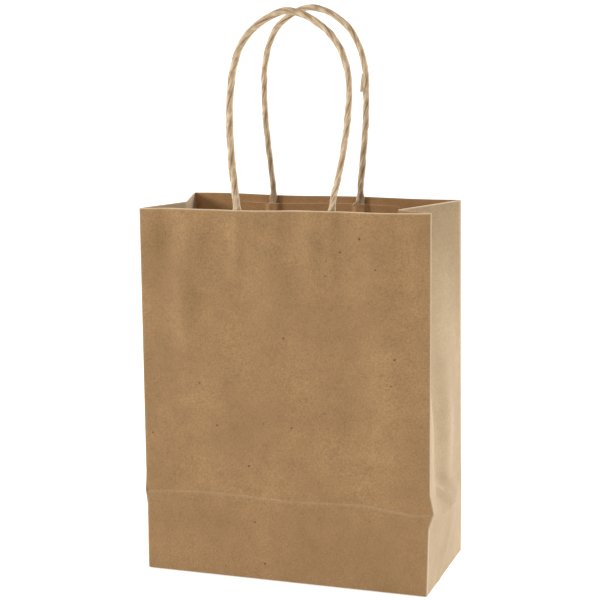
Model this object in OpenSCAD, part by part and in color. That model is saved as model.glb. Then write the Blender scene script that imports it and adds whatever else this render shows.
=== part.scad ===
// Paper carrier bag: one creased kraft sheet, four glued patch strips and two twisted paper
// cord handles. The sheet's panels are separate plates that turn about their creases.
// Origin: centre of the base on the ground. +Z up, front panel towards -Y, right gusset +X.

/* [Bag] */
// Width of the front and back panels
bag_w = 164; // [120:1:220]
// Depth of the opened base, the full width of a gusset
bag_d = 90; // [70:1:120]
// Height from the ground to the rim
bag_h = 210; // [180:1:280]
// Thickness of the kraft paper, drawn heavier than the real 0.15 so that it packs well
paper_t = 0.4; // [0.3:0.05:0.5]
// How far the rim of the back panel leans in when the bag stands open
rim_lean = 9; // [0:1:12]

/* [Handles] */
// Diameter of the twisted paper cord
cord_d = 3.5; // [3:0.1:4]
// Distance between the two legs of a handle
leg_pitch = 54; // [45:1:70]
// Height of the cord's centre at the top of the loop, above its hinge
loop_rise = 107; // [80:1:130]
// Widest half-width of a loop
loop_half_w = 33; // [28:1:45]
// Inward lean of the front loop
front_loop_lean = 8; // [0:1:10]
// Inward lean of the back loop, measured from its panel
back_loop_lean = 1; // [0:1:4]
// Sideways offset of the back handle and its patches
back_handle_x = -4.7; // [-8:0.1:-4.5]

/* [Handle patches] */
// Length of a patch strip along the rim
patch_w = 100; // [80:1:105]
// Height of a patch strip
patch_h = 40; // [30:1:50]
// Distance of the patch's top edge below the rim
patch_drop = 4.5; // [2:0.5:10]
// Width of a cord leg where it is pressed flat between the patches
leg_w = 5; // [4:0.5:6]
// Thickness of that flattened leg
leg_t = 1.8; // [1.4:0.1:2]

/* [Hidden] */
$fn = 32;
t = paper_t;
// The front crease lies at half the gusset width, so that the folded base lies flush
crease_z = bag_d / 2;
// Free space left between paper faces on the two sides of a hinge
gap = 0.4;
// Half of the slot that is left at a crease which folds back on itself
slot = 0.35;
panel_h = bag_h - crease_z;
lean_deg = asin(rim_lean / panel_h);
// Vertical hinge lines of the gussets
hinge_x = bag_w / 2 - t / 2;
hinge_y = bag_d / 2 - t - gap - t / 2;
// The gussets stop just above the ground, clear of the base as it swings
gusset_foot = 1.6;
// Clearance of the base plates from the gussets and the back panel
base_half_w = bag_w / 2 - t - gap;
flap_lap = 20;
// Side seam: width of the glued lap and its distance from the rear hinge line
seam_w = 14;
seam_in = 12;
seam_margin = 3;
// A handle hinges this far above the rim, so that the cord can lie over the edge
pivot_up = cord_d / 2 + 0.35;
leg_y = 2 * t + leg_t / 2;
leg_len = 38;
patch_r = 3;
// Half of the loop's route above its hinge, as shares of the widest half-width and the rise
loop_half = [
    [leg_pitch / 2 / loop_half_w, 0], [0.88, 0.16], [0.955, 0.34], [1, 0.54],
    [0.965, 0.71], [0.84, 0.85], [0.62, 0.945], [0.32, 0.99], [0, 1]];
ring_sides = 8;
steps_per_span = 3;

kraft = [0.67, 0.52, 0.37];
kraft_light = [0.74, 0.61, 0.46];
kraft_dark = [0.58, 0.44, 0.31];
cord_tan = [0.80, 0.69, 0.55];

// Places its children, drawn with the outer face at y = 0 and inwards along +y, on a panel
module on_front() {
    translate([0, -bag_d / 2, crease_z]) children();
}

module on_back() {
    translate([0, bag_d / 2, crease_z])
        rotate([lean_deg, 0, 0])
            mirror([0, 1, 0]) children();
}

// A plate across the bag's width, from height z0 to z1 on a panel
module wide_plate(z0, z1) {
    translate([-bag_w / 2, 0, z0]) cube([bag_w, t, z1 - z0]);
}

// A vertical gusset plate on the plane x = hinge_x, given as an outline of [y, z] points
module side_plate(outline) {
    translate([bag_w / 2 - t, 0, 0])
        rotate([90, 0, 90])
            linear_extrude(t) polygon(outline);
}

// The rounded edge of a gusset plate on its corner hinge line
module side_bead(y, z0, z1) {
    translate([hinge_x, y, z0]) cylinder(d = t, h = z1 - z0);
}

module gusset_front() {
    side_plate([[-hinge_y, gusset_foot], [-slot, gusset_foot], [-slot, bag_h], [-hinge_y, bag_h]]);
    side_bead(-hinge_y, gusset_foot, bag_h);
}

// The rear half's back edge follows the lean of the back panel above the crease
module gusset_rear() {
    side_plate([[slot, gusset_foot], [hinge_y, gusset_foot], [hinge_y, crease_z],
        [hinge_y - rim_lean - gap, bag_h], [slot, bag_h]]);
    side_bead(hinge_y, gusset_foot, crease_z);
}

// A patch strip with rounded corners, its face at depth y behind the panel's outer face
module patch(y) {
    z1 = panel_h - patch_drop;
    translate([0, y + t, z1 - patch_h / 2])
        rotate([90, 0, 0])
            linear_extrude(t) {
                square([patch_w - 2 * patch_r, patch_h], center = true);
                square([patch_w, patch_h - 2 * patch_r], center = true);
                for (sx = [-1, 1], sz = [-1, 1])
                    translate([sx * (patch_w / 2 - patch_r), sz * (patch_h / 2 - patch_r)])
                        circle(patch_r);
            }
}

// The two glued ends of a cord, pressed to a flat oval
module cord_ends() {
    for (side = [-1, 1])
        translate([side * leg_pitch / 2, leg_y, panel_h - leg_len])
            linear_extrude(leg_len) {
                square([leg_w - leg_t, leg_t], center = true);
                for (s = [-1, 1]) translate([s * (leg_w - leg_t) / 2, 0]) circle(d = leg_t);
            }
}

// Catmull-Rom point between p[1] and p[2] at share u
function between(p, u) = 0.5 * (2 * p[1] + (p[2] - p[0]) * u
    + (2 * p[0] - 5 * p[1] + 4 * p[2] - p[3]) * u * u
    + (3 * p[1] - p[0] - 3 * p[2] + p[3]) * u * u * u);

// The whole route in its own plane: one half, then its mirror image
route = [for (p = loop_half) [p[0] * loop_half_w, p[1] * loop_rise],
    for (i = [len(loop_half) - 2 : -1 : 0])
        [-loop_half[i][0] * loop_half_w, loop_half[i][1] * loop_rise]];
last = len(route) - 1;
padded = concat([2 * route[0] - route[1]], route, [2 * route[last] - route[last - 1]]);
line = [for (i = [0 : last - 1], k = [0 : steps_per_span - 1])
    between([padded[i], padded[i + 1], padded[i + 2], padded[i + 3]], k / steps_per_span),
    route[last]];

// Direction of the line at point i, square to the ends at the hinge
function along(i) = i == 0 ? [0, 1]
    : i == len(line) - 1 ? [0, -1]
    : (line[i + 1] - line[i - 1]) / norm(line[i + 1] - line[i - 1]);

// One closed tube swept along the line, a ring of points at each step
module loop_tube() {
    rings = [for (i = [0 : len(line) - 1], k = [0 : ring_sides - 1])
        let (a = 360 * k / ring_sides, d = along(i), r = cord_d / 2)
        [line[i][0] + r * cos(a) * d[1], r * sin(a), line[i][1] - r * cos(a) * d[0]]];
    n = ring_sides;
    walls = [for (i = [0 : len(line) - 2], k = [0 : n - 1])
        [i * n + k, i * n + (k + 1) % n, (i + 1) * n + (k + 1) % n, (i + 1) * n + k]];
    first_cap = [for (k = [n - 1 : -1 : 0]) k];
    last_cap = [for (k = [0 : n - 1]) (len(line) - 1) * n + k];
    polyhedron(points = rings, faces = concat(walls, [first_cap, last_cap]), convexity = 4);
}

// A loop standing on its hinge line, leaning inwards by lean degrees from the panel
module loop(lean) {
    translate([0, leg_y, panel_h + pivot_up]) rotate([-lean, 0, 0]) loop_tube();
}

module front_panel() {
    color(kraft) on_front() wide_plate(slot, panel_h);
}

module front_base_strip() {
    color(kraft) on_front() wide_plate(-crease_z, -slot);
}

// The base is two flaps of the sheet, glued where they lap
module base_front_flap() {
    color(kraft_dark) {
        translate([-base_half_w, -hinge_y, 0]) cube([2 * base_half_w, hinge_y + flap_lap / 2, t]);
        translate([-base_half_w, -hinge_y, t / 2])
            rotate([0, 90, 0]) cylinder(d = t, h = 2 * base_half_w);
    }
}

module base_rear_flap() {
    color(kraft_dark)
        translate([-base_half_w, -flap_lap / 2, t])
            cube([2 * base_half_w, bag_d / 2 - t - gap + flap_lap / 2, t]);
}

module back_base_strip() {
    color(kraft)
        translate([0, bag_d / 2, crease_z]) mirror([0, 1, 0]) wide_plate(-crease_z, -slot);
}

module back_panel() {
    color(kraft) on_back() wide_plate(slot, panel_h);
}

module gusset_right_front() {
    color(kraft_light) gusset_front();
}

module gusset_right_rear() {
    color(kraft_light) gusset_rear();
}

module gusset_left_front() {
    color(kraft_light) mirror([1, 0, 0]) gusset_front();
}

module gusset_left_rear() {
    color(kraft_light) mirror([1, 0, 0]) gusset_rear();
}

// The sheet's glued lap, on the inside of the right rear gusset
module side_seam_lap() {
    color(kraft)
        translate([bag_w / 2 - 2 * t, hinge_y - seam_in - seam_w, gusset_foot + seam_margin])
            cube([t, seam_w, bag_h - gusset_foot - 2 * seam_margin]);
}

module front_patch_outer() {
    color(kraft_dark) on_front() patch(t);
}

module front_patch_inner() {
    color(kraft_dark) on_front() patch(2 * t + leg_t);
}

module back_patch_outer() {
    color(kraft_dark) on_back() translate([back_handle_x, 0, 0]) patch(t);
}

module back_patch_inner() {
    color(kraft_dark) on_back() translate([back_handle_x, 0, 0]) patch(2 * t + leg_t);
}

module front_cord_ends() {
    color(cord_tan) on_front() cord_ends();
}

module back_cord_ends() {
    color(cord_tan) on_back() translate([back_handle_x, 0, 0]) cord_ends();
}

module front_handle() {
    color(cord_tan) on_front() loop(front_loop_lean);
}

module back_handle() {
    color(cord_tan) on_back() translate([back_handle_x, 0, 0]) loop(back_loop_lean);
}

front_panel();
front_base_strip();
base_front_flap();
base_rear_flap();
back_base_strip();
back_panel();
gusset_right_front();
gusset_right_rear();
gusset_left_front();
gusset_left_rear();
side_seam_lap();
front_patch_outer();
front_patch_inner();
back_patch_outer();
back_patch_inner();
front_cord_ends();
back_cord_ends();
front_handle();
back_handle();
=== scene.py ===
# %% [markdown]
# # A kraft paper carrier bag with twisted paper handles
# The bag is one sheet of brown kraft paper, folded and glued into a tube with two side
# gussets and a square bottom. Two twisted paper cords are glued to the walls between
# strips of the same paper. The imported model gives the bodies, hinges and sizes. This
# script dresses them in thin curved sheets, because paper that has been folded, shipped
# and opened again is never a flat plate.

# %% Load the frame
import math
import bpy
import numpy as np
from mathutils import Matrix, Vector


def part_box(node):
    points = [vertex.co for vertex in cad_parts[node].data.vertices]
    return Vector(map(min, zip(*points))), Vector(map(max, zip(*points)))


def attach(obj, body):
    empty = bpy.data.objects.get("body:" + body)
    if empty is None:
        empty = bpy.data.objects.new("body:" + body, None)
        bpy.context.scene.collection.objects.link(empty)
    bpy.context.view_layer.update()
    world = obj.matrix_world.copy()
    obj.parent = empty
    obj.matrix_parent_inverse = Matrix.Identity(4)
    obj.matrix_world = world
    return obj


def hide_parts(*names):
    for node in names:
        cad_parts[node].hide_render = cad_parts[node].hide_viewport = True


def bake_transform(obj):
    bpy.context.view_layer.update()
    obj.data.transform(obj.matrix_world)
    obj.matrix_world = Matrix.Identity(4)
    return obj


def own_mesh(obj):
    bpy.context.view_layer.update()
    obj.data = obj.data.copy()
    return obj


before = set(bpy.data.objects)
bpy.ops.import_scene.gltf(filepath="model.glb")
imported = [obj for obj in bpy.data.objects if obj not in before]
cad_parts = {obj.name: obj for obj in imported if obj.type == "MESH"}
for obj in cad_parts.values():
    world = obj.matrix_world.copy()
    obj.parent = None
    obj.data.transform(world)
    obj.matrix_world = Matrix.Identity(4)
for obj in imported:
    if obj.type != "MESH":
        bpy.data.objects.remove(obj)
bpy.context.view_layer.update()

MM = 0.001

# %% [markdown]
# ## Camera
# The bag is looked at from a little to its right and slightly above, with a long lens,
# so that the front wall shows in full and the right gusset as a narrow bright side.

# %% Place the camera
EYE = Vector((0.27218, -0.90786, 0.30512))
YAW, PITCH, ROLL = math.radians(19.34), math.radians(9.02), math.radians(-0.25)
camera_data = bpy.data.cameras.new("camera")
camera_data.lens, camera_data.sensor_width = 100.44, 36.0
camera_data.shift_x, camera_data.shift_y = 0.115, -0.003
camera = bpy.data.objects.new("camera", camera_data)
camera.matrix_world = (Matrix.Translation(EYE) @ Matrix.Rotation(YAW, 4, "Z")
                       @ Matrix.Rotation(math.pi / 2 - PITCH, 4, "X")
                       @ Matrix.Rotation(ROLL, 4, "Z"))
bpy.context.scene.collection.objects.link(camera)
bpy.context.scene.camera = camera
print("camera", round(EYE.length, 2), "m from the middle of the base")

# %% [markdown]
# ## Colours and nodes
# A colour is picked as an sRGB hex value, the way a swatch is written, and the shader
# wants linear light. One function does that for every colour, and one helper adds a
# node with its settings and links, so a material reads as a short list.

# %% Colour and node helpers
def linear(hex_colour):
    """sRGB hex to linear RGBA: v / 12.92 below 0.04045, else ((v + 0.055) / 1.055) ^ 2.4."""
    v = np.array([int(hex_colour[i:i + 2], 16) / 255 for i in (0, 2, 4)])
    v = np.where(v <= 0.04045, v / 12.92, ((v + 0.055) / 1.055) ** 2.4)
    return (*v.tolist(), 1.0)


def add_node(tree, kind, settings=None, **links):
    """Adds a node. settings holds its properties, or its inputs by name or number; links
    are inputs by name (or in_0, in_6 for a number) and the output that feeds each."""
    node = tree.nodes.new(kind)
    for key, value in (settings or {}).items():
        if isinstance(key, str) and hasattr(node, key):
            setattr(node, key, value)
        else:
            node.inputs[key].default_value = value
    for key, source in links.items():
        number = key.startswith("in_")
        tree.links.new(node.inputs[int(key[3:]) if number else key.replace("_", " ")], source)
    return node


def mixed(tree, factor, a, b, how="MIX"):
    """A colour mix: a where factor is 0 and b where it is 1. a or b may be a fixed colour."""
    node = add_node(tree, "ShaderNodeMix", {"data_type": "RGBA", "blend_type": how})
    for place, value in ((0, factor), (6, a), (7, b)):
        if isinstance(value, (tuple, float)):
            node.inputs[place].default_value = value
        else:
            tree.links.new(node.inputs[place], value)
    return node.outputs[2]


print("linear kraft:", [round(c, 3) for c in linear("a38058")])

# %% [markdown]
# ## Kraft paper
# Unbleached kraft paper is pressed from long wood fibres. Close up it shows cloudy
# "formation", where more or less fibre settled, short fibres that run mostly along the
# web, a few dark bark specks and pale flecks. It is machine finished, so it is nearly
# matt: a high roughness, a faint sheen from loose fibres and a low, fine relief. Where
# it was folded or cut, the surface is broken and paler. The sheets carry an attribute
# called worn, 1 at a fold or a cut edge and 0 on the flat, which the material reads.

# %% The kraft paper material
CLOUD_MM, BROAD_MM, LATTICE_MM = 9.0, 45.0, 9.0
FLECKS = ((0.0, 0.09, 0.72, "4f3822"), (50.0, 0.08, 0.84, "d3bb97"))


def kraft(name, paper, thin, thick, wear_and_groove_shade, relief=1.0):
    """Paper colour, moved to thin and thick by cloud noise and fibre noise, then
    specks, flecks and the worn attribute on top. Sizes are in millimetres."""
    material = bpy.data.materials.new(name)
    material.use_nodes = True
    tree = material.node_tree
    tree.nodes.clear()
    place = add_node(tree, "ShaderNodeTexCoord").outputs["Object"]
    mm = add_node(tree, "ShaderNodeVectorMath", {"operation": "SCALE", "Scale": 1 / MM},
                  in_0=place).outputs[0]
    # formation: clouds about 9 mm across
    cloud = add_node(tree, "ShaderNodeTexNoise", {"Scale": 1 / CLOUD_MM, "Detail": 3.0,
                     "Roughness": 0.6}, Vector=mm).outputs["Fac"]
    # fibres: tufts about 1 mm across, drawn out a little along the web and across it
    along = add_node(tree, "ShaderNodeMapping", {"Scale": (1.25, 1.25, 0.75)}, Vector=mm)
    fibre = add_node(tree, "ShaderNodeTexNoise", {"Scale": 1.0, "Detail": 2.0,
                     "Roughness": 0.65}, Vector=along.outputs[0]).outputs["Fac"]
    across = add_node(tree, "ShaderNodeMapping", {"Scale": (0.8, 0.8, 1.2),
                      "Location": (7.0, 3.0, 5.0)}, Vector=mm)
    weft = add_node(tree, "ShaderNodeTexNoise", {"Scale": 1.0, "Detail": 2.0,
                    "Roughness": 0.6}, Vector=across.outputs[0]).outputs["Fac"]
    both = add_node(tree, "ShaderNodeMath", {"operation": "ADD"}, in_0=fibre, in_1=weft)
    strands = add_node(tree, "ShaderNodeMapRange", {"From Min": 0.7, "From Max": 1.3},
                       Value=both.outputs[0]).outputs[0]
    clouds = add_node(tree, "ShaderNodeMapRange", {"From Min": 0.3, "From Max": 0.7},
                      Value=cloud).outputs[0]
    tone = mixed(tree, clouds, linear(thick), linear(paper))
    light = mixed(tree, strands, linear(thick), linear(thin))
    colour = mixed(tree, 0.55, tone, light)
    # broad unevenness of the web, about 45 mm across
    broad = add_node(tree, "ShaderNodeTexNoise", {"Scale": 1 / BROAD_MM, "Detail": 1.0},
                     Vector=mm).outputs["Fac"]
    broad = add_node(tree, "ShaderNodeMapRange", {"From Min": 0.35, "From Max": 0.65,
                     "To Max": 0.4}, Value=broad).outputs[0]
    colour = mixed(tree, broad, colour, linear(thick))
    # bark specks, then pale flecks: points of a 9 mm lattice, about one in four of the
    # specks and one in six of the flecks is kept
    for seed, size, keep, tint in FLECKS:
        shifted = add_node(tree, "ShaderNodeVectorMath", {"operation": "ADD", 1: (seed,) * 3},
                           in_0=mm).outputs[0]
        dots = add_node(tree, "ShaderNodeTexVoronoi", {"Scale": 1 / LATTICE_MM},
                        Vector=shifted)
        near = add_node(tree, "ShaderNodeMapRange", {"From Min": size, "From Max": size * 0.4},
                        Value=dots.outputs["Distance"]).outputs[0]
        chosen = add_node(tree, "ShaderNodeMapRange", {"From Min": keep,
                          "From Max": keep + 0.02}, Value=dots.outputs["Color"]).outputs[0]
        shown = add_node(tree, "ShaderNodeMath", {"operation": "MULTIPLY", "use_clamp": True},
                         in_0=near, in_1=chosen).outputs[0]
        colour = mixed(tree, shown, colour, linear(tint))
    rubbed = add_node(tree, "ShaderNodeAttribute", {"attribute_name": "wear_and_groove_shade"}).outputs["Fac"]
    colour = mixed(tree, rubbed, colour, linear(wear_and_groove_shade))
    height = mixed(tree, 0.35, strands, clouds)
    bump = add_node(tree, "ShaderNodeBump", {"Strength": 0.35 * relief, "Distance": 0.06 * MM},
                    Height=height).outputs[0]
    matt = add_node(tree, "ShaderNodeMapRange", {"To Min": 0.74, "To Max": 0.9},
                    Value=strands).outputs[0]
    surface = add_node(tree, "ShaderNodeBsdfPrincipled", {"IOR": 1.5, "Sheen Weight": 0.08,
                       "Sheen Roughness": 0.6, "Specular IOR Level": 0.35},
                       Base_Color=colour, Roughness=matt, Normal=bump)
    add_node(tree, "ShaderNodeOutputMaterial", Surface=surface.outputs[0])
    return material


KRAFT_OUT = kraft("kraft_paper_machine_finished", "9c784e", "b38e60", "7f603c", "d9c3a2")
# The gusset paper is the same kraft made paler and greyer: painted sheen where the light on the
# right grazes the gussets. Its fourth colour, for folds and cut edges, is real wear.
KRAFT_GUSSET_PAINTED_SHEEN = kraft("kraft_paper_gusset_painted_sheen", "a48c69", "b8a07d", "8f7858", "ead9b9")
KRAFT_IN = kraft("kraft_paper_inner_face", "b38858", "c29868", "9b7248", "d0b68f")
KRAFT_CUT = kraft("kraft_paper_cut_edge", "d3bb97", "e0cbab", "c2a884", "e2d0b2", relief=0.5)
print("paper materials:", len(bpy.data.materials))

# %% [markdown]
# ## A sheet of paper
# Every wall is a thin closed shell. A function of two parameters gives the outer face
# on a grid. The inner face lies one paper thickness behind it along the normal, and a
# strip closes the cut edge all round. Solidify could do this too, but working out the
# inner face keeps its own material and the pale cut edge under control.

# %% Build a paper shell from a grid
PAPER = 0.4


SHARP_ANGLE = math.radians(48)


def make_mesh(name, points, faces, materials, which, wear_and_groove_shade=None):
    """A mesh object from points in mm and faces, with a material number for each face."""
    mesh = bpy.data.meshes.new(name)
    mesh.from_pydata((points * MM).tolist(), [], faces)
    for material in materials:
        mesh.materials.append(material)
    mesh.polygons.foreach_set("material_index", np.asarray(which, np.int32))
    if wear_and_groove_shade is not None:
        mesh.attributes.new("wear_and_groove_shade", "FLOAT", "POINT").data.foreach_set(
            "value", np.clip(wear_and_groove_shade, 0, 1).astype(np.float32).ravel())
    mesh.shade_smooth()
    mesh.set_sharp_from_angle(angle=SHARP_ANGLE)
    obj = bpy.data.objects.new(name, mesh)
    bpy.context.scene.collection.objects.link(obj)
    return obj


def normals(grid):
    """Unit normals of a grid: the cross product of its steps along the two parameters."""
    n = np.cross(np.gradient(grid, axis=1), np.gradient(grid, axis=0))
    return n / np.linalg.norm(n, axis=2, keepdims=True)


def paper(name, outer, materials, wear_and_groove_shade=None, thickness=PAPER, cut="all"):
    """A closed shell: outer face, inner face = outer - thickness x normal, and a rim of
    quads that joins them. Faces are numbered on the grid as whole arrays. cut says
    whether all of the rim is a pale cut edge or only its top."""
    rows, cols = outer.shape[:2]
    count = rows * cols
    inner = outer - thickness * normals(outer)
    index = np.arange(count).reshape(rows, cols)
    a, b, c, d = (index[:-1, :-1], index[:-1, 1:], index[1:, 1:], index[1:, :-1])
    front = np.stack([a, b, c, d], -1).reshape(-1, 4)
    back = np.stack([a, d, c, b], -1).reshape(-1, 4) + count
    edge = np.concatenate([index[0, :-1], index[:-1, -1], index[-1, :0:-1], index[:0:-1, 0]])
    after = np.roll(edge, -1)
    rim = np.stack([edge, edge + count, after + count, after], -1)
    faces = np.concatenate([front, back, rim])
    which = np.repeat([0, 1, 2], [len(front), len(back), len(rim)])
    if cut == "top":
        side_faces = which[len(front) + len(back):]
        side_faces[:cols + rows - 2] = side_faces[2 * cols + rows - 3:] = 0
    points = np.concatenate([outer.reshape(-1, 3), inner.reshape(-1, 3)])
    if wear_and_groove_shade is not None:
        wear_and_groove_shade = np.concatenate([wear_and_groove_shade.ravel(), wear_and_groove_shade.ravel() * 0.5])
    obj = make_mesh(name, points, faces.tolist(), materials, which, wear_and_groove_shade)
    print(f"{name}: {len(faces)} faces, {rows} x {cols} grid")
    return obj


def bell(x, middle, width):
    """A smooth bump of height 1: exp of minus the squared distance over the width."""
    return np.exp(-((x - middle) / width) ** 2)


def step(x, low, high):
    """0 below low, 1 above high and 3t^2 - 2t^3 between them."""
    t = np.clip((x - low) / (high - low), 0, 1)
    return t * t * (3 - 2 * t)


# %% [markdown]
# ## The corners of the opened bag
# The walls are not upright once the bag has been opened: the front wall leans out on
# the left and in on the right, the back wall leans in, and the horizontal crease where
# the bottom was folded flat is pinched out at its ends. These lines, as functions of
# height, are shared by every sheet, so neighbouring sheets meet on them.

# %% Corner lines and the front and back walls
CREASE, RIM, HALF_WIDTH = 45.0, 210.0, 82
CORNER_HEIGHTS = (0, 37.5, 46.5, 57, RIM)
# for each corner, x at those heights and y at the foot and at the rim
CORNERS = {"front_left": ((-82, -82.4, -83.5, -82.9, -83.1), (-45, -50)),
           "front_right": ((82, 82.5, 85.2, 82.9, 80.7), (-45, -42.4)),
           "back_left": ((-82, -82, -82.2, -82.2, -82.7), (45, 38.1)),
           "back_right": ((82.5, 82.3, 82.1, 81.9, 81.5), (45, 32))}


def corner(which, z):
    """Outermost (x, y) of a vertical corner at height z: x is interpolated between the
    listed heights, y stays put up to the crease and then moves evenly to the rim."""
    x_knots, (y_foot, y_rim) = CORNERS[which]
    rise = np.clip((z - CREASE) / (RIM - CREASE), 0, 1)
    return np.interp(z, CORNER_HEIGHTS, x_knots), y_foot + (y_rim - y_foot) * rise


def between_corners(side, x, z):
    """The straight lean of a wall: its depth between its two corners at height z."""
    share = np.clip((x + HALF_WIDTH) / (2 * HALF_WIDTH), 0, 1)
    y_left, y_right = corner(side + "_left", z)[1], corner(side + "_right", z)[1]
    return share, (1 - share) * y_left + share * y_right


def away_from_edges(x, z):
    """1 in a wall's middle, falling to 0 within 12 mm of its corners and its foot."""
    return step(HALF_WIDTH - np.abs(x), 0, 12) * step(z, 0, 12)


LEGS = {"front": (-26.8, 26.4), "back": (-31.5, 22.1)}


def leg_ridges(side, x, z):
    """Two ridges of height 1 where the cord legs are glued to a wall, from z 178 up."""
    return (bell(x, LEGS[side][0], 3.2) + bell(x, LEGS[side][1], 3.2)) * step(z, 166, 178)


def front_y(x, z):
    """Depth of the front wall: the lean between its corners, a shallow valley along the
    crease, soft buckles, and ridges where the two cord legs are glued behind it."""
    share, y = between_corners("front", x, z)
    fold = front_crease(x)
    valley = 1.3 * np.exp(-np.abs(z - fold) / 7) * (1 - 0.6 * share)
    legs = leg_ridges("front", x, z)
    lap = step(z, 163.5, 166) * step(-np.abs(x), -51, -49) * 0.2
    hump = (1.7 * bell(x, -57, 8) * bell(z, 158, 26) - 1.3 * bell(x, -66, 7) * bell(z, 196, 16)
            - 1.2 * bell(x, -40, 10) * bell(z, 196, 14) + 1.3 * bell(x, -6, 13) * bell(z, 172, 17)
            - 1.1 * bell(x, 6, 8) * bell(z, 202, 9) + 1.0 * bell(x, 16, 7) * bell(z, 188, 14)
            + 1.5 * bell(x, 50, 13) * bell(z, 176, 34) + 1.1 * bell(x, 58, 12) * bell(z, 112, 34)
            + 0.9 * bell(x, -20, 26) * bell(z, 100, 30) - 0.9 * bell(x, 40, 24) * bell(z, 96, 26)
            - 0.9 * bell(x, -50, 22) * bell(z, 62, 14))
    waves = (0.3 * np.sin(x / 9.5 + 0.8 * np.sin(z / 31)) * step(z, 50, 120)
             + 0.12 * np.sin(x / 5.2 + z / 47))
    return y + valley - 0.55 * legs - lap - (1.5 * hump + waves) * away_from_edges(x, z)


def front_crease(x):
    """Height of the front wall's horizontal crease, which wanders by a few millimetres."""
    return np.interp(x, (-84, -58, -26, 4, 44, 74, 85),
                     (45.6, 47.9, 47.9, 46.9, 48.5, 45.4, 46.9))


def back_y(x, z):
    """Depth of the back wall: its lean, the crease, the cord legs and soft buckles."""
    y = between_corners("back", x, z)[1]
    valley = 1.0 * np.exp(-np.abs(z - CREASE) / 7)
    legs = leg_ridges("back", x, z)
    hump = (0.8 * bell(x, 50, 14) * bell(z, 150, 40) - 0.7 * bell(x, -50, 16) * bell(z, 120, 36)
            + 0.6 * bell(x, 0, 20) * bell(z, 185, 24) + 0.4 * bell(x, -10, 26) * bell(z, 80, 24))
    waves = 0.25 * np.sin(x / 10.5 + 1.1 * np.sin(z / 29) + 1)
    return y - valley + 0.55 * legs + (hump + waves) * away_from_edges(x, z)


def rim_height(which, x):
    """Height of the cut rim along x, nearly straight with a hand-cut waver."""
    left, right = {"front": (208.9, 210.3), "back": (209.7, 210.5)}[which]
    share = (x + HALF_WIDTH) / (2 * HALF_WIDTH)
    return left + (right - left) * share + 0.25 * np.sin(x / 13)


# %% Lay out a wall between its two rounded corner folds
FOLD_R = 1.1


def wall_grid(side, low, high, rows, cols=120, foot=False):
    """A grid for the front or back wall. Across, it runs flat between the corners and
    ends in two folds: angles up to 80 degrees on a circle of FOLD_R. Upwards, it runs
    from low(x) to high(x); with foot, the lowest rows turn under in the same way."""
    angle = np.radians(np.linspace(0, 80, 7))[1:]
    climb = np.append(np.linspace(0, 0.985, rows - 4), [0.991, 0.995, 0.9975, 1])
    turn = np.concatenate([-angle[::-1], np.zeros(cols), angle])
    flat = np.concatenate([-np.ones(6), np.linspace(-1, 1, cols), np.ones(6)])
    tilt = np.concatenate([angle[::-1], np.zeros(rows)]) if foot else np.zeros(rows)
    up = np.concatenate([np.zeros(6), climb]) if foot else climb
    turn, tilt = np.meshgrid(turn, tilt)
    flat, up = np.meshgrid(flat, up)
    bottom, top = low(flat * HALF_WIDTH), high(flat * HALF_WIDTH)
    z = bottom + up * (top - bottom)
    x_left, x_right = corner(side + "_left", z)[0], corner(side + "_right", z)[0]
    x = (x_left + x_right) / 2 + flat * ((x_right - x_left) / 2 - FOLD_R) + FOLD_R * np.sin(turn)
    depth = FOLD_R * (1 - np.cos(turn)) + FOLD_R * (1 - np.cos(tilt))
    y = front_y(x, z) + depth if side == "front" else back_y(x, z) - depth
    z = z + (FOLD_R * (1 - np.sin(tilt)) if foot else 0)
    grid = np.stack([x, y, z], -1)
    near = np.minimum(np.abs(x - x_left), np.abs(x_right - x))
    wear_and_groove_shade = 0.6 * np.exp(-(near / 0.55) ** 2)
    if not foot:
        wear_and_groove_shade = np.maximum(wear_and_groove_shade, 0.85 * np.exp(-((1 - up) * 165 / 0.45) ** 2))
    if side == "back":
        grid, wear_and_groove_shade = grid[:, ::-1], wear_and_groove_shade[:, ::-1]
    return grid, wear_and_groove_shade


# Each wall ends, and its foot strip begins, FOLD_SEAM from the crease. The crease is
# rubbed pale where the front wall and its strip meet.
FOLD_SEAM = 0.15
FACES = [KRAFT_OUT, KRAFT_IN, KRAFT_CUT]
FOOT_FACES = [KRAFT_OUT, KRAFT_IN, KRAFT_OUT]


def rubbed_crease(grid, wear_and_groove_shade, amount, width):
    """The worn values with a band of amount along the front crease added."""
    return np.maximum(wear_and_groove_shade, amount * bell(grid[..., 2], front_crease(grid[..., 0]), width))


grid, wear_and_groove_shade = wall_grid("front", lambda x: front_crease(x) - FOLD_SEAM,
                       lambda x: rim_height("front", x), 130)
front_wall = paper("front_wall", grid, FACES, rubbed_crease(grid, wear_and_groove_shade, 0.05, 0.7), cut="top")
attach(front_wall, "front")
grid, wear_and_groove_shade = wall_grid("front", lambda x: 0 * x,
                       lambda x: front_crease(x) + FOLD_SEAM - FOLD_R, 40, foot=True)
front_foot_strip = paper("front_foot_strip", grid, FOOT_FACES,
                         rubbed_crease(grid, wear_and_groove_shade, 0.1, 0.9))
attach(front_foot_strip, "front_foot")
grid, wear_and_groove_shade = wall_grid("back", lambda x: CREASE - FOLD_SEAM + 0 * x,
                       lambda x: rim_height("back", x), 110)
back_wall = paper("back_wall", grid, FACES, wear_and_groove_shade, cut="top")
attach(back_wall, "back")
grid, wear_and_groove_shade = wall_grid("back", lambda x: 0 * x,
                       lambda x: CREASE + FOLD_SEAM - FOLD_R + 0 * x, 36, foot=True)
back_foot_strip = paper("back_foot_strip", grid, FOOT_FACES, wear_and_groove_shade)
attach(back_foot_strip, "back_foot")
for piece, node in ((front_wall, "front_panel"), (front_foot_strip, "front_base_strip"),
                    (back_wall, "back_panel"), (back_foot_strip, "back_base_strip")):
    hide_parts(node)

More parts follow.
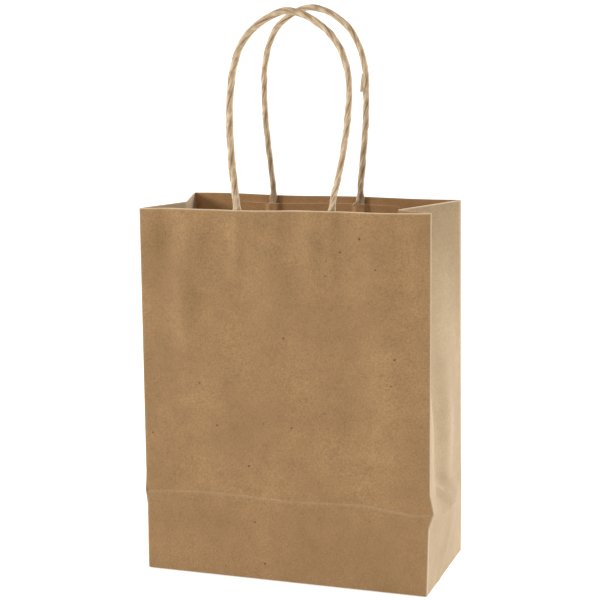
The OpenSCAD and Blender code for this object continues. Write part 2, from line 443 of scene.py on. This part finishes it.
# %% [markdown]
# ## Side gussets
# Each gusset is folded inwards along its middle so that the bag can lie flat. Opened
# up, it stays a V that is deep at the rim and runs out at the bottom block, where a
# short slanting fold ends in a small outward point. One sheet per side holds all of
# this: across it follows a V from the front corner to the fold and on to the back
# corner, with a softened point, and the fold's place is a function of height.

# %% Side gusset sheets
def gusset_fold(side, z):
    """(x, y) of the middle fold at height z: straight pieces between a few heights."""
    if side == "right":
        heights = (0, 20, 39.5, 46.8, 60, 88, 120, 165, 208)
        return (np.interp(z, heights, (82, 83.6, 85.3, 77.0, 76.4, 75.2, 72.3, 64.6, 54.5)),
                np.interp(z, heights, (-6, -3, 0, -4, -5, -5, -5, -5.1, -5.2)))
    heights = (0, 40, 50, 120, 208)
    return (np.interp(z, heights, (-82, -84, -79.5, -76.5, -72)),
            np.interp(z, heights, (2, 0, -3, -5, -6)))


GUSSET_COLS, POINT = 83, 0.011


def gusset_across():
    """The columns' a, from -1/2 to 1/2 and crowded towards the middle fold at 0."""
    k = np.linspace(-1, 1, GUSSET_COLS)
    return 0.5 * np.sign(k) * np.abs(k) ** 1.7


def gusset_grid(side):
    """Across: fold + a (back - front) + |a| (front + back - 2 fold) with a from -1/2 to
    1/2 and |a| softened to sqrt(a^2 + POINT^2). Upwards: heights, closer at the block."""
    sign = 1 if side == "right" else -1
    z = np.concatenate([np.linspace(0.35, 33, 24)[:-1], np.linspace(33, 64, 46)[:-1],
                        np.linspace(64, RIM - 2.5, 76), RIM - np.array([1.4, 0.8, 0.4, 0])])
    a, z = np.meshgrid(gusset_across(), z)
    height = z / RIM
    soft = np.sqrt(a * a + POINT ** 2)
    soft = (soft - POINT) / (np.sqrt(0.25 + POINT ** 2) - POINT) * 0.5
    front, back = corner("front_" + side, z), corner("back_" + side, z)
    front = (front[0] - sign * 0.06, front[1] + 0.75 * FOLD_R)
    back = (back[0] - sign * 0.06, back[1] - 0.75 * FOLD_R)
    fold = gusset_fold(side, z)
    x, y = (t + a * (b - f) + soft * (f + b - 2 * t) for f, t, b in zip(front, fold, back))
    # small buckles that fade out at both corners and at the rim
    calm = step(0.5 - np.abs(a), 0, 0.12)
    ripple = (0.25 * np.sin(z / 19 + 6 * a) + 0.1 * np.sin(z / 9.3 - 9 * a)) * calm * step(z, 4, 30)
    if side == "right":
        # a long swell down the rear half, which ends on a slanting ledge below the fold
        ledge = 53 - 42 * a
        below = step(ledge - z, -0.9, 0.9) * np.exp(-np.maximum(ledge - z, 0) / 15)
        ripple += calm * (2.8 * bell(a, 0.2, 0.12) * bell(z, 80, 32) * step(z - ledge, 0, 10)
                          + 0.7 * bell(a, 0.25, 0.15) * bell(z, 140, 50)
                          + 1.7 * below * bell(a, 0.1, 0.11)
                          - 0.8 * bell(a, 0.1, 0.09) * bell(z - ledge, 4, 5)
                          + 0.7 * bell(a - (z - 20) / 160, 0.0, 0.09) * bell(z, 14, 16))
    x = x + sign * ripple
    # the cut rim runs from one wall's rim down to the fold and up to the other's
    rim = np.where(a < 0, rim_height("front", front[0]), rim_height("back", back[0]))
    tip = 207.7 if side == "right" else 208.7
    z = z * (tip + (rim - tip) * 2 * np.abs(a)) / RIM
    grid = np.stack([x, y, z], -1)
    # paler along both corners, the fold and the cut rim; the sheet is 90 mm across
    wear_and_groove_shade = (0.35 * bell((0.5 - np.abs(a)) * 90, 0, 0.6)
            + 0.2 * bell(a * 90, 0, 0.8) * step(z, 62, 90))
    wear_and_groove_shade = np.maximum(wear_and_groove_shade, 0.8 * bell((1 - height) * RIM, 0, 0.45))
    if side == "left":
        grid, wear_and_groove_shade = grid[:, ::-1], wear_and_groove_shade[:, ::-1]
    return grid, wear_and_groove_shade


for side in ("right", "left"):
    grid, wear_and_groove_shade = gusset_grid(side)
    # The left gusset's inner face, which faces the light, takes the paler copy too: painted light.
    inner_face = KRAFT_GUSSET_PAINTED_SHEEN if side == "left" else KRAFT_IN
    sheet = paper(f"{side}_gusset_sheet", grid, [KRAFT_GUSSET_PAINTED_SHEEN, inner_face, KRAFT_CUT], wear_and_groove_shade,
                  cut="top")
    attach(sheet, "front")
    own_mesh(sheet)
    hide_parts(f"gusset_{side}_front", f"gusset_{side}_rear")

# %% [markdown]
# ## Side seam
# The sheet becomes a tube by gluing a 14 mm lap down the inside of the right gusset.
# It is a strip that follows the gusset a paper thickness further in.

# %% Side seam lap
SEAM = np.linspace(0.09, 0.235, 12)
a_cols = gusset_across()
left_col = np.searchsorted(a_cols, SEAM, side="right") - 1
weight = ((SEAM - a_cols[left_col]) / (a_cols[left_col + 1] - a_cols[left_col]))[None, :, None]
rows = gusset_grid("right")[0][6:-2]
strip = rows[:, left_col] + weight * (rows[:, left_col + 1] - rows[:, left_col])
strip = strip - (PAPER + 0.06) * normals(strip)
seam = paper("side_seam_strip", strip, [KRAFT_IN, KRAFT_IN, KRAFT_CUT], thickness=0.3)
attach(seam, "front")
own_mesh(seam)
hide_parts("side_seam_lap")

# %% [markdown]
# ## The square bottom
# The bottom is closed by two flaps. The front one lies outside and the rear one laps
# over it with a band of glue. Pressed paper is never flat, so each flap has a slow
# swell and a slight dent along the glue band.

# %% Bottom flaps
FLAP_REACH = 0.35


def flap_grid(node, lift):
    """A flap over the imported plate's depth, and FLAP_REACH wider at each side, so that it
    meets the gussets' inner faces. The height is the plate's top, plus a low swell that
    is zero at its edges, plus a dent along the glued band."""
    low, high = (np.array(c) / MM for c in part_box(node))
    low[0], high[0] = low[0] - FLAP_REACH, high[0] + FLAP_REACH
    x, y = np.meshgrid(np.linspace(low[0], high[0], 90), np.linspace(low[1], high[1], 40))
    inside = (step(np.minimum(x - low[0], high[0] - x), 0, 9)
              * step(np.minimum(y - low[1], high[1] - y), 0, 5))
    swell = 0.35 + 0.25 * np.sin(x / 14 + 1.3 * np.sin(y / 9)) - 0.2 * bell(y, 0, 6)
    return np.stack([x, y, high[2] + lift + swell * inside], -1)


for node, lift in (("base_front_flap", 0.0), ("base_rear_flap", 0.05)):
    flap = paper(node.replace("base", "bottom"), flap_grid(node, lift),
                 [KRAFT_IN, KRAFT_OUT, KRAFT_CUT], thickness=0.36)
    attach(flap, "base")
    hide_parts(node)

# %% [markdown]
# ## Patch strips
# The cord ends are glued between two strips of paper, 100 mm long and 40 mm high, on
# the inside of each wall. The strip next to the wall lies flat on it. The strip on top
# drapes over the two flattened legs, so it stands up over them and is pressed down
# onto the other strip around them.

# %% Patch strips
# for each wall: its surface, the way in, the cord legs' x and the patch strip's middle
WALL = {"front": (front_y, 1.0, LEGS["front"], 0.0), "back": (back_y, -1.0, LEGS["back"], -4.15)}
PATCH_W, PATCH_H, PATCH_DROP, PATCH_ROUND = 100.0, 40.0, 4.6, 3


def patch_grid(side, layer):
    """Points a fixed distance behind the wall's outer face. The top layer adds a smooth
    bump over each leg. Rounded corners: the ends of each row pull in near its corners."""
    surface, inward, legs, middle = WALL[side]
    u, v = np.meshgrid(np.linspace(-1, 1, 110), np.linspace(-1, 1, 44))
    near_end = np.clip(((np.abs(v) - 1) * PATCH_H / 2 + PATCH_ROUND) / PATCH_ROUND, 0, 1)
    pull = PATCH_ROUND * (1 - np.sqrt(1 - near_end ** 2))
    x = middle + u * (PATCH_W / 2 - pull - 0.2 * np.sin(v * 5))
    top = rim_height(side, x) - PATCH_DROP
    z = top - PATCH_H / 2 + v * PATCH_H / 2 + 0.3 * np.sin(x / 15 + 1) * (v > 0.99)
    offset = PAPER + 0.05 + PAPER * (layer == "under")
    if layer == "over":
        over_leg = sum(step(5.4 - np.abs(x - leg), 0, 3.2) for leg in legs)
        spread = over_leg * step(z, top - 37, top - 31)
        offset = offset + 2 * PAPER + 0.05 + 1.9 * spread + 0.12 * np.sin(x / 6 + z / 9)
    y = surface(x, z) + inward * offset
    grid = np.stack([x, y, z], -1)
    return grid if side == "back" else grid[:, ::-1]


for side in ("front", "back"):
    for layer, node in (("under", "outer"), ("over", "inner")):
        strip = paper(f"{side}_patch_{layer}", patch_grid(side, layer),
                      [KRAFT_IN, KRAFT_IN, KRAFT_CUT], thickness=0.38)
        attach(strip, side)
        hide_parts(f"{side}_patch_{node}")

# %% [markdown]
# ## Twisted paper cord
# The cord is a kraft paper ribbon, creped and twisted hard into a round string about
# 3.5 mm thick. The twist leaves three rounded strands that wind slowly round the cord
# with grooves between them, darkened with painted shade, and crimped paper lines run
# along the strands. A texture cannot follow that in space, so the mesh carries its own
# UV map: u runs round the cord with the twist taken out and v runs along it in millimetres.

# %% The cord material
def cord_paper(name, paper_hex, pale, groove):
    """Pale creped paper. Deep in a groove, where the attribute read here is 1, painted
    shade darkens it. Lines that follow the strands come from noise stretched along v,
    and slower blotches vary them."""
    material = bpy.data.materials.new(name)
    material.use_nodes = True
    tree = material.node_tree
    tree.nodes.clear()
    uv = add_node(tree, "ShaderNodeUVMap", {"uv_map": "strand"}).outputs[0]
    lines = add_node(tree, "ShaderNodeMapping", {"Scale": (17.0, 0.16, 1.0)}, Vector=uv)
    crepe = add_node(tree, "ShaderNodeTexNoise", {"Scale": 1.0, "Detail": 3.0, "Roughness": 0.7},
                     Vector=lines.outputs[0]).outputs["Fac"]
    crepe = add_node(tree, "ShaderNodeMapRange", {"From Min": 0.33, "From Max": 0.67},
                     Value=crepe).outputs[0]
    blotch = add_node(tree, "ShaderNodeMapping", {"Scale": (3.0, 0.25, 1.0)}, Vector=uv)
    blotch = add_node(tree, "ShaderNodeTexNoise", {"Scale": 1.0, "Detail": 2.0},
                      Vector=blotch.outputs[0]).outputs["Fac"]
    blotch = add_node(tree, "ShaderNodeMapRange", {"From Min": 0.35, "From Max": 0.65},
                      Value=blotch).outputs[0]
    colour = mixed(tree, crepe, linear(paper_hex), linear(pale))
    colour = mixed(tree, 0.35, colour, mixed(tree, blotch, linear(paper_hex), linear(pale)))
    # painted shade: the dark groove colour laid into the hollows between strands and folds
    deep = add_node(tree, "ShaderNodeAttribute", {"attribute_name": "wear_and_groove_shade"}).outputs["Fac"]
    colour = mixed(tree, deep, colour, linear(groove))
    bump = add_node(tree, "ShaderNodeBump", {"Strength": 0.6, "Distance": 0.12 * MM},
                    Height=crepe).outputs[0]
    surface = add_node(tree, "ShaderNodeBsdfPrincipled", {"IOR": 1.5, "Roughness": 0.7,
                       "Sheen Weight": 0.1, "Specular IOR Level": 0.4},
                       Base_Color=colour, Normal=bump)
    add_node(tree, "ShaderNodeOutputMaterial", Surface=surface.outputs[0])
    return material


# The last colour, 57412a, is painted shade for the grooves, not a colour of the paper.
CORD = cord_paper("creped_paper_twisted", "97754f", "e0caa8", "57412a")
CORD_D = 3.5

# %% Routes of the two cords
def smooth_route(knots, spacing=0.8):
    """A Catmull-Rom curve through the knots: for t from 0 to 1 between p1 and p2 it is
    half of 2 p1 + (p2 - p0) t + (2 p0 - 5 p1 + 4 p2 - p3) t^2 + (3 p1 - p0 - 3 p2 + p3) t^3."""
    p = np.concatenate([[2 * knots[0] - knots[1]], knots, [2 * knots[-1] - knots[-2]]])
    t = np.linspace(0, 1, 24, endpoint=False)[None, :, None]
    p0, p1, p2, p3 = (q[:, None] for q in (p[:-3], p[1:-2], p[2:-1], p[3:]))
    q = 0.5 * (2 * p1 + (p2 - p0) * t + (2 * p0 - 5 * p1 + 4 * p2 - p3) * t ** 2
               + (3 * p1 - p0 - 3 * p2 + p3) * t ** 3)
    q = np.concatenate([q.reshape(-1, 3), knots[-1:]])
    along = np.concatenate([[0], np.cumsum(np.linalg.norm(np.diff(q, axis=0), axis=1))])
    even = np.arange(0, along[-1], spacing)
    return np.stack([np.interp(even, along, q[:, k]) for k in range(3)], -1)


# Each knot: height above the rim, half width, and how far the loop leans to its left there.
# Then for each loop: the angle it leans inwards, its top and how far the top slips left.
LOOPS = {"front": (((6, 27.3, 0), (23, 30.3, 0), (41, 32.5, 0), (57, 33.4, 0), (69, 33, 0),
                    (79, 31.3, 0.5), (87.4, 28.4, 1), (95.8, 22.8, 1.8), (103.4, 13.4, 2.6),
                    (107.3, 5, 3)), 8.0, 108.2, 3.0),
         "back": (((5, 26.9, 0), (24, 28.8, 0), (44, 30.6, 0), (60, 31, 0), (72.5, 30.7, 0),
                   (82, 29, 0.3), (90.6, 26, 0.7), (98.6, 21, 1.1), (105.4, 12.6, 1.5),
                   (108.6, 5, 1.8)), 4.0, 109.5, 1.8)}
LEG_DEPTH, LEG_END = 1.9, 38.0


def route(side):
    """Left leg up from its glued end, round the loop and down the right leg. On the
    loop, height and half width are as listed and the plane leans inwards."""
    half, lean, top, slip = LOOPS[side]
    surface, inward, legs, _ = WALL[side]
    rise, out, left = np.array(half).T
    centre = sum(legs) / 2
    x = np.concatenate([centre - out - left, [centre - slip], centre + (out - left)[::-1]])
    up = np.concatenate([rise, [top], rise[::-1]])
    rim = rim_height(side, x)
    pivot = surface(x, rim) + inward * LEG_DEPTH
    y = pivot + inward * up * math.sin(math.radians(lean))
    z = rim + up * math.cos(math.radians(lean))
    loop = np.stack([x, y, z], -1)
    drops = np.array([-LEG_END, -28, -18, -8, -2])
    ends = []
    for leg in legs:
        x_leg, z_leg = leg + 0 * drops, rim_height(side, leg) + drops
        ends.append(np.stack([x_leg, surface(x_leg, z_leg) + inward * LEG_DEPTH, z_leg], -1))
    return smooth_route(np.concatenate([ends[0], loop, ends[1][::-1]]))


routes = {side: route(side) for side in ("front", "back")}

# %% Sweep the twisted profile along a route
AROUND, PITCH, STRANDS = 48, 46.0, 3
PRESSED_WIDE, PRESSED_FLAT = 5.0, 1.8


def length_along(path):
    """For each point of a path, the length of the path up to it."""
    return np.concatenate([[0], np.cumsum(np.linalg.norm(np.diff(path, axis=0), axis=1))])


def twisted_cord(name, path, side, seed, thick):
    """Around the cord the radius is that of rounded strands, R (0.8 + 0.15 |cos|), plus
    two finer sets of paper folds, all turning with the twist, and a slow swelling.
    Between the patch strips the profile is pressed to 5 mm by 1.8 mm."""
    rng = np.random.default_rng(seed)
    tangent = np.gradient(path, axis=0)
    tangent /= np.linalg.norm(tangent, axis=1, keepdims=True)
    across = np.array([0.0, -1.0, 0.0])
    side_way = np.cross(across, tangent)
    side_way /= np.linalg.norm(side_way, axis=1, keepdims=True)
    out_way = np.cross(tangent, side_way)
    along = length_along(path)
    theta = np.linspace(0, 2 * np.pi, AROUND + 1)[None, :]
    wander = np.interp(along, np.linspace(0, along[-1], 18), np.cumsum(rng.normal(0, 0.35, 18)))
    twist = 2 * np.pi * along / PITCH + wander
    turn = theta - twist[:, None]
    ridge = np.abs(np.cos(STRANDS * turn / 2)) ** 0.7
    fold = (np.abs(np.cos(3.5 * turn + 1.1)) ** 0.5 * 0.05
            + np.abs(np.cos(6 * turn + 0.4)) ** 0.5 * 0.04)
    lumps = np.interp(along, np.linspace(0, along[-1], 90), rng.normal(0, 0.045, 90))
    radius = np.interp(along, [0, along[-1]], thick)[:, None] / 2
    radius = radius * (0.8 + 0.15 * ridge + fold + lumps[:, None])
    rim = rim_height(side, path[:, 0])
    pressed = 1 - step(path[:, 2], rim - 3, rim + 4)
    wide = (1 + pressed * (PRESSED_WIDE / CORD_D - 1))[:, None, None]
    flat = (1 + pressed * (PRESSED_FLAT / CORD_D - 1))[:, None, None]
    sideways = np.cos(theta)[..., None] * side_way[:, None] * wide
    outwards = np.sin(theta)[..., None] * out_way[:, None] * flat
    ring = path[:, None] + radius[..., None] * (sideways + outwards)
    points = ring[:, :-1].reshape(-1, 3)
    rows = len(path)
    i, j = np.meshgrid(np.arange(rows - 1), np.arange(AROUND), indexing="ij")
    this, after = i * AROUND, (j + 1) % AROUND
    quads = np.stack([this + j, this + after, this + AROUND + after, this + AROUND + j], -1)
    quads = quads.reshape(-1, 4)
    caps = [list(range(AROUND))[::-1], list(range((rows - 1) * AROUND, rows * AROUND))]
    # how deep each point lies between strands and folds; the cord material paints shade there
    groove = np.clip(0.8 * (1 - ridge[:, :-1]) ** 1.6 + 6.5 * (0.07 - fold[:, :-1]), 0, 0.85)
    obj = make_mesh(name, points, quads.tolist() + caps, [CORD], np.zeros(len(quads) + 2),
                    groove)
    u = turn / (2 * np.pi)
    v = np.broadcast_to(along[:, None], u.shape)
    corners = [(i, j), (i, j + 1), (i + 1, j + 1), (i + 1, j)]
    uv = np.stack([np.stack([u[r, c], v[r, c]], -1) for r, c in corners], 2).reshape(-1, 2)
    uv = np.concatenate([uv, np.zeros((2 * AROUND, 2))])
    obj.data.uv_layers.new(name="strand").data.foreach_set("uv", uv.astype(np.float32).ravel())
    print(f"{name}: {rows} rings of {AROUND}, {along[-1]:.0f} mm long")
    return obj


for side, seed, thick in (("front", 4, (4.3, 3.3)), ("back", 9, (3.5, 3.7))):
    path = routes[side]
    cord = twisted_cord(f"{side}_twisted_cord", path, side, seed, thick)
    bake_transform(cord)
    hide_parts(f"{side}_handle", f"{side}_cord_ends")

# %% [markdown]
# ## Loose paper ends
# The ribbon in the cord is not endless. On the back loop one end has sprung loose from
# the twist, and at the foot of the same leg a small tongue of ribbon curls out over the
# patch strip. Both are thin curved strips that ride with what they grow from.

# %% Loose paper ends
def ribbon(start, end, width, curl, bow):
    """A strip from start to end. Across it bends like a shallow gutter of depth curl,
    and along it bows out by bow times 4 t (1 - t). It narrows towards its end."""
    t, w = np.meshgrid(np.linspace(0, 1, 26), np.linspace(-0.5, 0.5, 9))
    start, end = np.array(start, float), np.array(end, float)
    line = start + t[..., None] * (end - start)
    side_way = np.cross(end - start, (0, 1, 0))
    side_way /= np.linalg.norm(side_way)
    out = bow * 4 * t * (1 - t) + curl * (0.25 - w ** 2) * 4
    half = w * width * (1 - 0.35 * t)
    return line + half[..., None] * side_way - out[..., None] * np.array([0, 1.0, 0])


def leg_point(height):
    """The point of the back loop's right leg that is nearest to a height."""
    return right_leg[np.argmin(np.abs(right_leg[:, 2] - height))]


def loose_end(name, sheet):
    """A thin paper shell of the cord's own paper."""
    return paper(name, sheet, [CORD] * 3, np.zeros(sheet.shape[:2]), thickness=0.25)


right_leg = routes["back"][len(routes["back"]) // 2:]
ply = loose_end("loose_cord_ply", ribbon(leg_point(281.5) + (-0.9, -0.9, 0),
                                         leg_point(271.5) + (-2.7, -0.9, 0), 2.2, 0.25, 0.5))
foot = leg_point(206.5)
curl = loose_end("curled_cord_end", ribbon(foot + (-1.0, -1.5, 1.2), foot + (-3.6, -3.0, -1.2),
                                           1.7, 0.35, 0.7))
for piece, body in ((ply, "back_handle"), (curl, "back")):
    piece.data.uv_layers.new(name="strand")
    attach(piece, body)

# %% [markdown]
# ## Floor and light
# A plain white floor and an even white surround keep the paper's own colour. One large
# soft light stands to the right of the bag, so the right gusset is the brightest face
# and the front wall, which it only grazes, shows its buckles.

# %% Floor, lights and surround
def flat_material(name, colour, glow):
    """A matt painted floor with a faint mottle, and a little glow so that it stays white."""
    material = bpy.data.materials.new(name)
    material.use_nodes = True
    tree = material.node_tree
    tree.nodes.clear()
    noise = add_node(tree, "ShaderNodeTexNoise", {"Scale": 3.0}).outputs["Fac"]
    tone = mixed(tree, noise, linear(colour), linear("ffffff"))
    surface = add_node(tree, "ShaderNodeBsdfPrincipled", {"Roughness": 0.9,
                       "Emission Strength": glow, "Emission Color": (1, 1, 1, 1)},
                       Base_Color=tone)
    add_node(tree, "ShaderNodeOutputMaterial", Surface=surface.outputs[0])
    return material


# The floor sweeps up into a wall far behind the bag, in a quarter circle of 1 m.
bend = np.radians(np.linspace(0, 90, 13))
sweep_y = np.concatenate([[-6000], 5000 + 1000 * np.sin(bend), [6000]])
sweep_z = np.concatenate([[0], 1000 - 1000 * np.cos(bend), [4000]]) - 0.3
left, right = (np.stack([x + 0 * sweep_y, sweep_y, sweep_z], -1) for x in (-7000, 7000))
last = len(sweep_y)
k = np.arange(last - 1)
quads = np.stack([k, last + k, last + k + 1, k + 1], -1)
floor = make_mesh("floor", np.concatenate([left, right]), quads.tolist(),
                  [flat_material("matt_white_floor", "f6f6f4", 0.4)], np.zeros(last - 1))


def area_light(name, at, to, size, watts):
    """A square soft light at a point in metres, turned to face another point."""
    data = bpy.data.lights.new(name, "AREA")
    data.shape, data.size, data.energy = "SQUARE", size, watts
    light = bpy.data.objects.new(name, data)
    light.location = at
    light.rotation_euler = (Vector(to) - Vector(at)).to_track_quat("-Z", "Y").to_euler()
    bpy.context.scene.collection.objects.link(light)


area_light("right_softbox", (1.3, 1.3, 0.75), (0, 0, 0.12), 0.8, 38)
area_light("left_fill", (-1.9, -0.75, 1.0), (0, 0, 0.1), 0.6, 34)
world = bpy.data.worlds.new("white_surround")
world.use_nodes = True
background = world.node_tree.nodes["Background"].inputs
background["Color"].default_value, background["Strength"].default_value = (1, 1, 1, 1), 0.62
bpy.context.scene.world = world
bpy.context.scene.view_settings.view_transform = "Standard"
